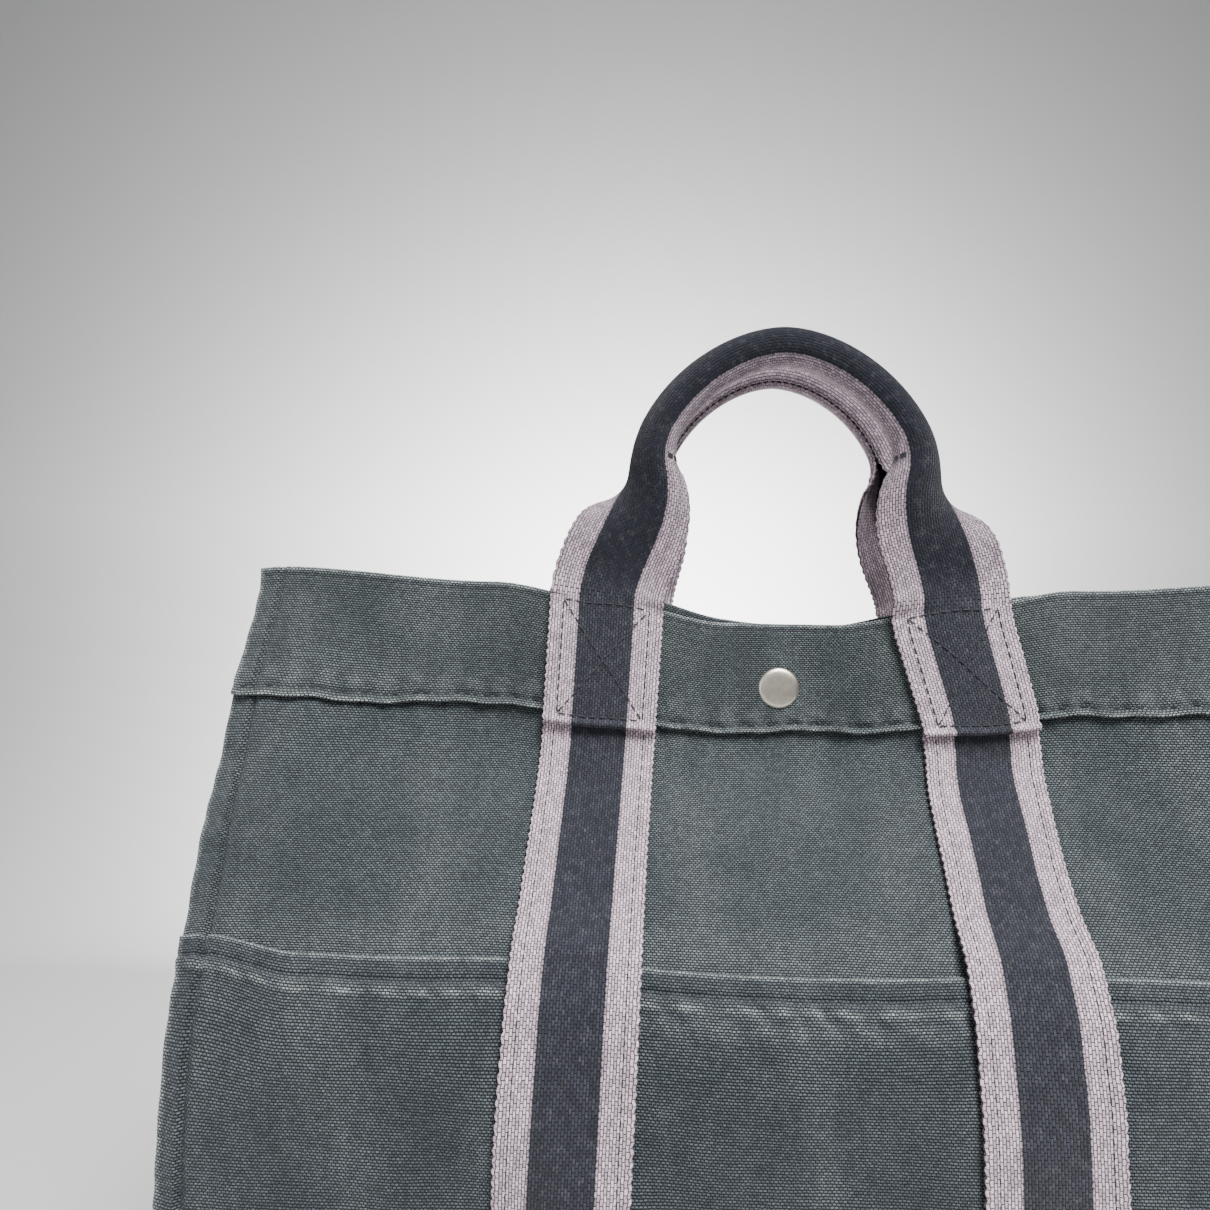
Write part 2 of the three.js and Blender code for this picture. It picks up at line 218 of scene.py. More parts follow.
def make_mesh(name, points, faces, uvs, wear_and_shade, material):
    mesh = bpy.data.meshes.new(name)
    mesh.from_pydata((points * MM).tolist(), [], faces)
    layer = mesh.uv_layers.new(name="UVMap")
    loops = np.zeros(len(mesh.loops), np.int32)
    mesh.loops.foreach_get("vertex_index", loops)
    layer.data.foreach_set("uv", uvs[loops].astype(np.float32).ravel())
    # Per-point value: real wear on the cloth, and on the handle webbing also painted shade.
    attribute = mesh.attributes.new("wear_and_shade", "FLOAT", "POINT")
    attribute.data.foreach_set("value", wear_and_shade.astype(np.float32))
    mesh.polygons.foreach_set("use_smooth", np.ones(len(mesh.polygons), bool))
    mesh.materials.append(material)
    obj = bpy.data.objects.new(name, mesh)
    bpy.context.scene.collection.objects.link(obj)
    return obj


def grid_faces(rows, columns):
    """Faces of an outer grid and an inner grid joined round their border, wound outward."""
    index = np.arange(rows * columns).reshape(rows, columns)
    back = index + rows * columns
    a, b, c, d = index[:-1, :-1], index[:-1, 1:], index[1:, 1:], index[1:, :-1]
    outer = np.stack([a, b, c, d], -1).reshape(-1, 4)
    a, b, c, d = back[:-1, :-1], back[1:, :-1], back[1:, 1:], back[:-1, 1:]
    inner = np.stack([a, b, c, d], -1).reshape(-1, 4)
    border = np.concatenate([index[0, :-1], index[:-1, -1], index[-1, :0:-1], index[:0:-1, 0]])
    following = np.roll(border, -1)
    offset = rows * columns
    rim = np.stack([following, border, border + offset, following + offset], -1)
    return np.concatenate([outer, inner, rim]).tolist()


def no_wear(x, v):
    return np.zeros_like(x)


def sheet(name, xs, vs, place, thickness, material, wear_and_shade=no_wear, edge=1.2):
    """Closed soft sheet: place(x, v, n) gives a point, thickness(x, v) the inner and outer n."""
    x, v = np.meshgrid(xs, vs)
    low, high = thickness(x, v)
    middle = (low + high) / 2
    shoulder = np.minimum(edge_round(xs, edge)[None, :], edge_round(vs, edge)[:, None])
    half = (high - low) / 2 * np.clip(shoulder, 0.08, 1)
    outer = place(x, v, middle + half)
    inner = place(x, v, middle - half)
    points = np.concatenate([outer.reshape(-1, 3), inner.reshape(-1, 3)])
    uv = np.stack([x, v], -1).reshape(-1, 2)
    worn = np.clip(wear_and_shade(x, v), 0, 1).ravel()
    return make_mesh(
        name, points, grid_faces(len(vs), len(xs)),
        np.concatenate([uv, uv]), np.concatenate([worn, worn]), material,
    )


def constant(low, high):
    return lambda x, v: (np.full_like(x, low), np.full_like(x, high))


# --- Materials -------------------------------------------------------------------------------

class Nodes:
    """Short way to build a material's node tree."""

    def __init__(self, name):
        self.material = bpy.data.materials.new(name)
        self.material.use_nodes = True
        self.tree = self.material.node_tree
        self.shader = self.tree.nodes["Principled BSDF"]

    def add(self, kind, **values):
        node = self.tree.nodes.new(kind)
        for key, value in values.items():
            if key in node.inputs:
                node.inputs[key].default_value = value
            else:
                setattr(node, key, value)
        return node

    def link(self, source, target):
        self.tree.links.new(source, target)

    def math(self, operation, first, second):
        node = self.add("ShaderNodeMath", operation=operation)
        for socket, value in zip(node.inputs, (first, second)):
            if isinstance(value, (int, float)):
                socket.default_value = value
            else:
                self.link(value, socket)
        return node.outputs[0]

    def mix(self, factor, first, second, blend="MIX"):
        node = self.add("ShaderNodeMix", data_type="RGBA", blend_type=blend)
        for socket, value in zip((node.inputs[0], node.inputs[6], node.inputs[7]), (factor, first, second)):
            if isinstance(value, (int, float, tuple)):
                socket.default_value = value
            else:
                self.link(value, socket)
        return node.outputs[2]

    def ramp(self, value, low, high):
        node = self.add("ShaderNodeMapRange")
        node.inputs["From Min"].default_value = low
        node.inputs["From Max"].default_value = high
        self.link(value, node.inputs["Value"])
        return node.outputs["Result"]

    def noise(self, vector, scale, detail=2.0, rough=0.55):
        node = self.add("ShaderNodeTexNoise")
        node.inputs["Scale"].default_value = scale
        node.inputs["Detail"].default_value = detail
        node.inputs["Roughness"].default_value = rough
        self.link(vector, node.inputs["Vector"])
        return node.outputs["Fac"]


def linear(red, green, blue):
    """sRGB 0 to 255 as linear RGBA."""
    def one(c):
        c = c / 255
        return c / 12.92 if c <= 0.04045 else ((c + 0.055) / 1.055) ** 2.4
    return (one(red), one(green), one(blue), 1.0)


def weave(nodes, vector, width, height, gap, turn=0.0):
    """Grey pattern of brick-laid yarns: painted highlight on each yarn's crown, painted shade in the gaps
    between yarns.
    """
    mapping = nodes.add("ShaderNodeMapping")
    mapping.inputs["Rotation"].default_value = (0, 0, turn)
    nodes.link(vector, mapping.inputs["Vector"])
    sway = nodes.math("MULTIPLY", nodes.math("SUBTRACT", nodes.noise(vector, 0.5), 0.5), 0.5)
    moved = nodes.add("ShaderNodeVectorMath", operation="ADD")
    nodes.link(mapping.outputs[0], moved.inputs[0])
    nodes.link(sway, moved.inputs[1])
    brick = nodes.add("ShaderNodeTexBrick", offset=0.5)
    brick.inputs["Scale"].default_value = 1.0
    brick.inputs["Brick Width"].default_value = width
    brick.inputs["Row Height"].default_value = height
    brick.inputs["Mortar Size"].default_value = gap
    brick.inputs["Mortar Smooth"].default_value = 1.0
    # Pale bricks are painted highlight on the yarn crowns; the dark mortar is painted shade between the
    # yarns.
    brick.inputs["Color1"].default_value = (1.35, 1.35, 1.35, 1)
    brick.inputs["Color2"].default_value = (2.5, 2.5, 2.5, 1)
    brick.inputs["Mortar"].default_value = (0.04, 0.04, 0.04, 1)
    nodes.link(moved.outputs[0], brick.inputs["Vector"])
    return brick


def cloth_finish(nodes, tone, brick, fine, strength, distance):
    """Colour shaded by the yarns, matt sheen and yarn relief for a woven cloth."""
    nodes.link(nodes.mix(1.0, tone, brick.outputs["Color"], "MULTIPLY"), nodes.shader.inputs["Base Color"])
    nodes.shader.inputs["Roughness"].default_value = 0.95
    nodes.shader.inputs["Sheen Weight"].default_value = 0.12
    nodes.shader.inputs["Sheen Roughness"].default_value = 0.6
    nodes.shader.inputs["Specular IOR Level"].default_value = 0.15
    height = nodes.math("SUBTRACT", nodes.math("MULTIPLY", fine, 0.5), brick.outputs["Fac"])
    relief = nodes.add("ShaderNodeBump")
    relief.inputs["Strength"].default_value = strength
    relief.inputs["Distance"].default_value = distance
    nodes.link(height, relief.inputs["Height"])
    nodes.link(relief.outputs[0], nodes.shader.inputs["Normal"])


def stretched(nodes, vector, across, up):
    mapping = nodes.add("ShaderNodeMapping")
    mapping.inputs["Scale"].default_value = (across, up, 1)
    nodes.link(vector, mapping.inputs["Vector"])
    return mapping.outputs[0]


def canvas_material(name, tone, worn):
    """Washed plain-weave canvas: charcoal with long pale streaks, faded where it rubs."""
    nodes = Nodes(name)
    uv = nodes.add("ShaderNodeTexCoord").outputs["UV"]
    brick = weave(nodes, uv, 1.25, 0.88, 0.34)
    fine = nodes.noise(uv, 1.3, 3.0, 0.7)
    streak = nodes.ramp(nodes.noise(stretched(nodes, uv, 0.035, 0.009), 1.0, 3.0, 0.6), 0.45, 0.75)
    colour = nodes.mix(nodes.math("MULTIPLY", streak, 0.16), tone, worn)
    blotch = nodes.ramp(nodes.noise(uv, 0.05, 5.0, 0.65), 0.4, 0.8)
    colour = nodes.mix(nodes.math("MULTIPLY", blotch, 0.1), colour, worn)
    speck = nodes.ramp(nodes.noise(uv, 0.5, 5.0, 0.8), 0.6, 0.82)
    colour = nodes.mix(nodes.math("MULTIPLY", speck, 0.2), colour, worn)
    wear_and_shade = nodes.add("ShaderNodeAttribute", attribute_name="wear_and_shade").outputs["Fac"]
    patchy = nodes.ramp(nodes.noise(stretched(nodes, uv, 0.12, 0.4), 1.0, 4.0, 0.7), 0.25, 0.6)
    colour = nodes.mix(nodes.math("MULTIPLY", wear_and_shade, patchy), colour, worn)
    cloth_finish(nodes, colour, brick, fine, 0.8, 0.0006)
    return nodes.material


def webbing_material(name):
    """Cotton webbing with a dark middle stripe, faded where "wear_and_shade" is 1; on the handle, the dark
    unfaded legs above the band are partly painted shade.
    """
    nodes = Nodes(name)
    uv = nodes.add("ShaderNodeTexCoord").outputs["UV"]
    split = nodes.add("ShaderNodeSeparateXYZ")
    nodes.link(uv, split.inputs[0])
    # UV x is the distance from the webbing's middle line
    across = nodes.math("ABSOLUTE", split.outputs["X"], 0.0)
    fray = nodes.math("SUBTRACT", nodes.noise(uv, 0.9, 2.0), 0.5)
    outside = nodes.ramp(nodes.math("ADD", across, fray), 9.7, 10.3)
    # Off the band the handle keeps the dark fresh colours, which on its legs are partly painted shade.
    fresh = nodes.mix(outside, linear(12, 14, 25), linear(129, 115, 124))
    faded = nodes.mix(outside, linear(40, 41, 49), linear(167, 151, 160))
    wear_and_shade = nodes.add("ShaderNodeAttribute", attribute_name="wear_and_shade").outputs["Fac"]
    colour = nodes.mix(wear_and_shade, fresh, faded)
    dust = nodes.math("MULTIPLY", nodes.ramp(nodes.noise(uv, 0.3, 4.0, 0.7), 0.5, 0.85), 0.1)
    colour = nodes.mix(dust, colour, linear(150, 148, 150))
    brick = weave(nodes, uv, 1.9, 0.95, 0.22, math.pi / 2)
    cloth_finish(nodes, colour, brick, nodes.noise(uv, 1.8, 3.0), 0.7, 0.0005)
    return nodes.material


def thread_material(name, tone):
    nodes = Nodes(name)
    place = nodes.add("ShaderNodeTexCoord").outputs["Object"]
    twist = nodes.noise(place, 900.0, 2.0)
    dark = tuple(c * 0.7 for c in tone[:3]) + (1.0,)
    pale = tuple(c * 1.4 for c in tone[:3]) + (1.0,)
    colour = nodes.mix(twist, dark, pale)
    nodes.link(colour, nodes.shader.inputs["Base Color"])
    nodes.shader.inputs["Roughness"].default_value = 0.7
    nodes.shader.inputs["Sheen Weight"].default_value = 0.2
    return nodes.material


def nickel_material(name):
    """Satin nickel with fine rub marks and a slightly warm tone."""
    nodes = Nodes(name)
    place = nodes.add("ShaderNodeTexCoord").outputs["Object"]
    haze = nodes.noise(place, 700.0, 3.0)
    colour = nodes.mix(haze, linear(214, 205, 190), linear(240, 233, 220))
    nodes.link(colour, nodes.shader.inputs["Base Color"])
    nodes.shader.inputs["Metallic"].default_value = 1.0
    rub = nodes.add("ShaderNodeMapRange")
    rub.inputs["To Min"].default_value = 0.3
    rub.inputs["To Max"].default_value = 0.48
    nodes.link(nodes.noise(place, 260.0, 4.0, 0.7), rub.inputs["Value"])
    nodes.link(rub.outputs["Result"], nodes.shader.inputs["Roughness"])
    relief = nodes.add("ShaderNodeBump")
    relief.inputs["Strength"].default_value = 0.15
    relief.inputs["Distance"].default_value = 0.0002
    nodes.link(nodes.noise(place, 1200.0, 2.0), relief.inputs["Height"])
    nodes.link(relief.outputs[0], nodes.shader.inputs["Normal"])
    return nodes.material


def plain_material(name, tone):
    nodes = Nodes(name)
    nodes.shader.inputs["Base Color"].default_value = tone
    nodes.shader.inputs["Roughness"].default_value = 0.9
    return nodes.material


def make_materials():
    worn = linear(150, 157, 158)
    return {
        "canvas": canvas_material("washed_canvas", linear(62, 70, 74), worn),
        # The pocket is a darker copy of the same canvas: painted shade for its upright face, which turns
        # further from the light above than the sloping panel.
        "pocket": canvas_material("washed_canvas_pocket_painted_shade", linear(54, 61, 67), worn),
        "trim": canvas_material("washed_canvas_trim", linear(61, 69, 71), worn),
        "webbing": webbing_material("striped_webbing"),
        "dark_thread": thread_material("navy_thread", linear(32, 34, 42)),
        "core": thread_material("rope_core", linear(150, 142, 142)),
        "nickel": nickel_material("satin_nickel"),
    }


# --- Stitches --------------------------------------------------------------------------------

def capsule(sides=6):
    """Ring radii and positions of one lying stitch, highest in its middle."""
    along_it = np.array([-0.5, -0.42, -0.2, 0.2, 0.42, 0.5])
    radius = np.array([0.25, 0.75, 1.0, 1.0, 0.75, 0.25])
    angle = np.arange(sides) * 2 * math.pi / sides
    return along_it, radius, angle


def stitches(name, runs, material):
    """Thread mesh from runs of (points, normals): polylines on the cloth, in millimetres."""
    along_it, radius, angle = capsule()
    points = []
    faces = []
    count = len(angle)
    for line, normals in runs:
        step = np.linalg.norm(np.diff(line, axis=0), axis=1)
        length = np.concatenate([[0], np.cumsum(step)])
        centres = np.arange(STITCH_PITCH / 2, length[-1], STITCH_PITCH)
        for centre in centres:
            ends = np.array([centre - STITCH_LENGTH / 2, centre + STITCH_LENGTH / 2])
            ends = np.clip(ends, 0, length[-1])
            a, b = (np.array([np.interp(e, length, line[:, k]) for k in range(3)]) for e in ends)
            normal = np.array([np.interp(centre, length, normals[:, k]) for k in range(3)])
            direction = (b - a) / max(np.linalg.norm(b - a), 1e-6)
            normal = normal - direction * (normal @ direction)
            normal = normal / np.linalg.norm(normal)
            side = np.cross(direction, normal)
            base = len(points)
            for t, r in zip(along_it, radius):
                middle = (a + b) / 2 + (b - a) * t + normal * (THREAD_RADIUS * (r - 0.75))
                for w in angle:
                    spoke = side * math.cos(w) + normal * math.sin(w)
                    points.append(middle + spoke * r * THREAD_RADIUS)
            for ring in range(len(along_it) - 1):
                for k in range(count):
                    p = base + ring * count + k
                    q = base + ring * count + (k + 1) % count
                    faces.append((p, q, q + count, p + count))
            last = base + (len(along_it) - 1) * count
            faces.append(tuple(base + k for k in reversed(range(count))))
            faces.append(tuple(last + k for k in range(count)))
    points = np.array(points)
    zero = np.zeros(len(points))
    return make_mesh(name, points, faces, np.stack([zero, zero], -1), zero, material)


def run_on(place, x, v, n):
    """A stitch run on a surface: its points and the outward normals there."""
    x, v, n = np.broadcast_arrays(np.asarray(x, float), np.asarray(v, float), np.asarray(n, float))
    points = place(x, v, n)
    outward = place(x, v, n + 1.0) - points
    return points, outward / np.linalg.norm(outward, axis=1, keepdims=True)


# --- Front and back --------------------------------------------------------------------------

def turn_half(points):
    return points * np.array([-1.0, -1.0, 1.0])


def facing(side):
    """The wall function of a side. The back is the front turned, a little higher beside one handle."""
    if side == "front":
        return wall

    def back(x, v, n):
        lift = BACK_LIFT * bump((x - BACK_LIFT_X) / BACK_LIFT_REACH) * smooth((v - BAND_V) / BAND_HEIGHT)
        return turn_half(wall(x, v + lift, n))

    return back


def bend_over_fold(obj):
    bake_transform(obj)


def unturned(points):
    return points


def turning(side):
    """What turns a point of the front into one of this side."""
    return unturned if side == "front" else turn_half


def hands(side):
    """Sign of x in the front's own coordinates for the left and the right piece."""
    return (("left", -1), ("right", 1)) if side == "front" else (("left", 1), ("right", -1))


def edge_wear(v, height, reach):
    return bump((v - height) / reach)


def seam_wear(x):
    return 0.8 * bump((np.abs(x) - 195.5) / 2.2)


def selvedge(x):
    """The webbing's raised edge and the groove its stitches pull in beside it."""
    return 0.25 * bump((np.abs(x) - 18.6) / 1.4) - 0.3 * bump((np.abs(x) - STRAP_STITCH) / 0.9)


def panel_wear(x, v):
    near_seam = 0.6 * bump((np.abs(x) - 195.5) / 1.6)
    rub = 0.12 * bump((v - FOLD_Z - 24) / 20)
    return near_seam + rub


def make_panel(side, materials):
    place = facing(side)
    xs = wall_lines(2.5)
    vs = lines(FLOOR_GAP, TOP_V, 2.5)
    panel = sheet(f"{side}_panel", xs, vs, place, constant(-1.2, 0.0), materials["canvas"], panel_wear)
    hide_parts(f"{side}_panel_lower", f"{side}_panel_upper")
    bend_over_fold(panel)


def pocket_layer(x, v):
    """The pocket's cloth, thicker in its folded hem, with puckers pulled by the hem's stitches."""
    hem = smooth((v - RIDGE_V) / 2.0)
    pull = np.sin(x * 0.52 + v * 0.55 + 1.6 * np.sin(x * 0.11) + 0.8 * np.sin(x * 0.31))
    middle = 0.35 + 0.65 * bump(x / 110)
    pucker = 0.6 * middle * pull * bump((v - RIDGE_V) / 8)
    stitch = -1.2 * bump((v - (RIDGE_V + HEM_STITCH)) / 1.8)
    ridge = 0.8 * bump((v - RIDGE_V) / 2.4)
    high = 1.7 + 1.1 * hem + np.maximum(pucker, -0.5) + stitch + ridge
    return np.full_like(x, 0.2), high


def pocket_wear(x, v):
    rub = 0.6 + 0.4 * np.sin(x * 0.52 + v * 0.55 + 1.6 * np.sin(x * 0.11))
    ridge = 0.85 * rub * edge_wear(v, RIDGE_V, 2.2)
    lip = 0.9 * edge_wear(v, HEM_V - 0.4, 1.8)
    crease = 0.3 * rub * edge_wear(v, RIDGE_V - 5, 6) * bump(x / 110)
    return ridge + lip + crease + seam_wear(x)


def pocket_place(side):
    """The pocket hangs a little in its middle and is held up where the corner seams pinch it."""
    place = facing(side)

    def on_wall(x, v, n):
        held = 6.0 * smooth((np.abs(x) - 156) / 32) - 2.0 * bump(x / 80)
        return place(x, v + held * smooth((v - 150) / 60), n)

    return on_wall


def make_pocket(side, materials):
    place = pocket_place(side)
    xs = wall_lines(1.3)
    vs = np.concatenate([
        np.linspace(FLOOR_GAP, FOLD_Z - 10, 60),
        np.linspace(FOLD_Z - 9, HEM_V - 1.4, 44),
        HEM_V - np.array([1.0, 0.6, 0.3, 0.1, 0.0]),
    ])
    pocket = sheet(f"{side}_patch_pocket", xs, vs, place, pocket_layer, materials["pocket"], pocket_wear)
    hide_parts(f"{side}_pocket", f"{side}_pocket_hem")
    bend_over_fold(pocket)


def band_layer(x, v):
    """The top band: two layers with a rolled, puckered lower edge."""
    roll = 1.1 * bump((v - BAND_V - 1.0) / 1.9)
    pull = np.sin(x * 0.61 + 1.7 * np.sin(x * 0.13) + v * 0.5)
    pucker = 0.5 * pull * bump((v - BAND_V - 3) / 8)
    stitches_low = -0.6 * bump((v - BAND_V - BAND_LOW_STITCH) / 1.4)
    stitches_top = -0.45 * bump((v - TOP_V + BAND_TOP_STITCH) / 1.5)
    return np.full_like(x, 0.3), 2.1 + roll + pucker + stitches_low + stitches_top


def band_wear(x, v):
    return (
        (0.85 + 0.15 * np.sin(x * 0.61)) * edge_wear(v, BAND_V + 0.6, 1.7)
        + 0.8 * edge_wear(v, TOP_V, 1.8)
        + seam_wear(x)
        + 0.2 * bump((v - BAND_V - 8) / 6) * (0.5 + 0.5 * np.sin(x * 0.61))
    )


def band_place(side):
    """The band's lower edge wanders a little, as its cloth has stretched between stitches."""
    place = facing(side)

    def on_wall(x, v, n):
        wander = 0.9 * np.sin(x * 0.055 + 0.8) + 0.5 * np.sin(x * 0.14) + 0.25 * np.sin(x * 0.37)
        return place(x, v + wander * (1 - smooth((v - BAND_V) / 25)), n)

    return on_wall


def make_band(side, materials):
    place = band_place(side)
    xs = wall_lines(1.3)
    vs = lines(BAND_V, TOP_V + 0.5, 0.75, edge=0.8)
    band = sheet(f"{side}_top_band", xs, vs, place, band_layer, materials["trim"], band_wear)
    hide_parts(f"{side}_band")
    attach(band, f"{side}_wall")


def strap_base(v):
    """How far the strap stands off the panel: over the pocket, over its hem, then close to the panel."""
    over_hem = 1.6 * smooth((v - (RIDGE_V - 18)) / 16)
    drop = 3.9 * smooth((v - HEM_V - 1) / 22)
    return 3.0 + over_hem - drop


def strap_layer(x, v):
    base = strap_base(v)
    return base, base + WEB_THICKNESS + selvedge(x)


def make_straps(side, materials):
    for hand, sign in hands(side):
        on_wall = strap_place(side, sign)
        xs = lines(-STRAP / 2, STRAP / 2, 1.1, edge=0.8)
        vs = lines(FLOOR_GAP, FOLD_Z + TAB_END + 2, 0.8, edge=0.8)
        strap = sheet(
            f"{side}_strap_{hand}", xs, vs, on_wall,
            strap_layer, materials["webbing"], strap_wear, edge=0.8,
        )
        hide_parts(f"{side}_strap_{hand}_lower", f"{side}_strap_{hand}_upper")
        bend_over_fold(strap)


def scallop(x, along_it):
    """Looped selvedge: the webbing's two edges swell and shrink along its length."""
    return 0.7 * np.abs(np.sin(along_it * math.pi / 3.2)) * smooth((np.abs(x) - 17.6) / 2.4) * np.sign(x)


def strap_wear(x, v):
    return 0.72 + 0.2 * smooth((v - 250) / 60) - 0.06 * np.sin(v * 0.05)


def strap_place(side, sign):
    """Wall surface along one strap: x is the distance from the strap's middle line."""
    place = facing(side)

    def on_wall(x, v, n):
        return place(strap_x(v, sign) + x + scallop(x, v), v, n)

    return on_wall


# --- Handles ---------------------------------------------------------------------------------

def handle_path():
    """Stations of the handle's middle line: point, tangent and how far the webbing is rolled up."""
    left, right = (wall(strap_x(TOP_V, sign), TOP_V, TAB_LIFT) for sign in (-1, 1))
    leg = HANDLE_RISE - ARCH_HEIGHT
    k = np.linspace(0, 1, 56)
    angle = np.linspace(math.pi, 0, 132)
    legs = [
        np.stack([root[0] + (side * ARCH_HALF_WIDTH - root[0]) * smooth(k * 0.97) ** 0.9, leg * k], -1)
        for root, side in ((left, -1), (right, 1))
    ]
    across = np.sign(np.cos(angle)) * np.abs(np.cos(angle)) ** ARCH_POINTEDNESS
    up = np.sin(angle) ** ARCH_POINTEDNESS
    arch = np.stack([ARCH_HALF_WIDTH * across, leg + ARCH_HEIGHT * up], -1)
    flat = np.concatenate([legs[0][:-1], arch, legs[1][::-1][1:]])
    rise = flat[:, 1]
    y = left[1] + HANDLE_INWARD * smooth(rise / HANDLE_RISE)
    points = np.stack([flat[:, 0], y, left[2] + rise], -1)
    tangent = np.gradient(points, axis=0)
    tangent = tangent / np.linalg.norm(tangent, axis=1, keepdims=True)
    length = np.concatenate([[0], np.cumsum(np.linalg.norm(np.diff(points, axis=0), axis=1))])
    return points, tangent, smooth((rise - ROLL_START) / ROLL_LENGTH), length


def tab_surface(sign, x, v, n):
    """The handle's left (-1) or right (1) stitched end; v counts down from 0 at the band's top edge."""
    return wall(strap_x(TOP_V + v, sign) + x, TOP_V + v, n)


def handle_place(c, s, n):
    """Point of the handle webbing: c across, s along from the left hinge line, n out of its face."""
    points, tangent, roll, length = HANDLE
    axis = np.stack([np.interp(s, length, points[:, k]) for k in range(3)], -1)
    t = np.stack([np.interp(s, length, tangent[:, k]) for k in range(3)], -1)
    t = t / np.linalg.norm(t, axis=-1, keepdims=True)
    wound = np.interp(s, length, roll)
    front = np.array([0.0, -1.0, 0.0])
    outward = np.cross(front, t)
    outward = outward / np.linalg.norm(outward, axis=-1, keepdims=True)
    twist = (GRIP_TWIST * wound)[..., None]
    facing_out = front * np.cos(twist) + outward * np.sin(twist)
    across = np.cross(t, facing_out)
    wrap = np.maximum(GRIP_WRAP * wound, 0.02)
    radius = STRAP / wrap
    seat = wound * STRAP / GRIP_WRAP
    angle = c / radius
    out = (radius + n) * np.cos(angle) - radius + seat
    return axis + facing_out * out[..., None] + across * ((radius + n) * np.sin(angle))[..., None]


def arch_length():
    """Length of the handle's middle line between the two hinge lines."""
    return HANDLE[3][-1]


def webbing_place(c, s, n):
    """The whole handle webbing, from the left stitched end over the arch to the right one."""
    c = c + scallop(c, s)
    total = arch_length()
    left = tab_surface(-1, c, np.minimum(s, 0), n + TAB_LIFT)
    right = tab_surface(1, -c, np.minimum(total - s, 0), n + TAB_LIFT)
    middle = handle_place(c, np.clip(s, 0, total), n)
    start = smooth((s + 1) / 5)[..., None]
    end = smooth((total + 1 - s) / 5)[..., None]
    shape = middle * start + left * (1 - start)
    return shape * end + right * (1 - end)


def web_layer(c, s):
    half = WEB_THICKNESS / 2
    total = arch_length()
    fold = bump((s + TAB_LENGTH - 1.5) / 2.4) + bump((total + TAB_LENGTH - 1.5 - s) / 2.4)
    return np.full_like(c, -half), half + selvedge(c) + 1.3 * fold


def web_fading_and_shade(c, s):
    total = arch_length()
    ends = edge_wear(s, -TAB_LENGTH, 2.5) + edge_wear(s, total + TAB_LENGTH, 2.5)
    # Pale on the ends stitched to the band and dark from just above it: partly real fading, partly painted
    # shade where the handle legs turn away from the light.
    on_band = 1 - smooth((np.minimum(s, total - s) + 4) / 20)
    return 0.95 * on_band + 0.2 * ends


def make_handle(side, materials):
    name = "front_handle" if side == "front" else "rear_handle"
    grip = "front_grip" if side == "front" else "rear_grip"
    total = arch_length()
    xs = lines(-STRAP / 2, STRAP / 2, 1.25, edge=0.8)
    ss = lines(-TAB_LENGTH, total + TAB_LENGTH, 0.9, edge=0.8)
    turn = turning(side)
    webbing = sheet(
        f"{name}_webbing", xs, ss, lambda c, s, n: turn(webbing_place(c, s, n)),
        web_layer, materials["webbing"], web_fading_and_shade, edge=0.8,
    )
    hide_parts(name, f"{side}_handle_tab_left", f"{side}_handle_tab_right")
    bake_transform(webbing)
    make_bar_tacks(name, turn, grip, materials)
    core = grip_core(f"{name}_rope", turn, materials["core"])
    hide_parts(f"{name}_core")
    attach(core, grip)


def make_bar_tacks(name, turn, grip, materials):
    """Short dense rows of thread that close the rolled grip at both ends."""
    total = arch_length()
    lift = WEB_THICKNESS / 2 + 0.15
    across = np.linspace(10.5, 18.5, 12)

    def place(c, s, n):
        return turn(handle_place(c, s, n))

    runs = []
    for middle in (BAR_TACK, total - BAR_TACK):
        for offset in (-0.8, -0.3, 0.2, 0.7):
            runs.append(run_on(place, across, np.full_like(across, middle + offset), lift))
    tacks = stitches(f"{name}_bar_tacks", runs, materials["dark_thread"])
    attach(tacks, grip)


def grip_core(name, turn, material):
    """Rope filling inside the rolled grip."""
    points, tangent, roll, length = HANDLE
    inside = np.where(roll > 0.97)[0]
    s = np.linspace(length[inside[0]], length[inside[-1]], 90)
    angle = np.linspace(0, 2 * math.pi, 18, endpoint=False)
    radius = STRAP / GRIP_WRAP - WEB_THICKNESS / 2 - 0.25
    rings = []
    for value in s:
        centre = handle_place(np.array([0.0]), np.array([value]), np.array([-STRAP / GRIP_WRAP]))[0]
        far = handle_place(np.array([0.0]), np.array([value]), np.array([0.0]))[0] - centre
        side = handle_place(np.array([STRAP / 4]), np.array([value]), np.array([0.0]))[0] - centre
        far = far / np.linalg.norm(far)
        side = side - far * (side @ far)
        side = side / np.linalg.norm(side)
        twist = angle + value * 0.25
        ply = radius * (1 - 0.06 * np.abs(np.sin(1.5 * twist)))
        rings.append(centre + ply[:, None] * (np.cos(angle)[:, None] * far + np.sin(angle)[:, None] * side))
    points = turn(np.concatenate(rings))
    faces = []
    count = len(angle)
    for ring in range(len(s) - 1):
        for k in range(count):
            p = ring * count + k
            q = ring * count + (k + 1) % count
            faces.append((p, q, q + count, p + count))
    faces.append(tuple(reversed(range(count))))
    faces.append(tuple((len(s) - 1) * count + k for k in range(count)))
    zero = np.zeros(len(points))
    return make_mesh(name, points, faces, np.stack([zero, zero], -1), zero, material)


# --- Sides and base --------------------------------------------------------------------------

def crease_x(u):
    return -SIDE_X + 1.0 + CREASE_DEPTH * np.clip(u, 0, None) / UPPER


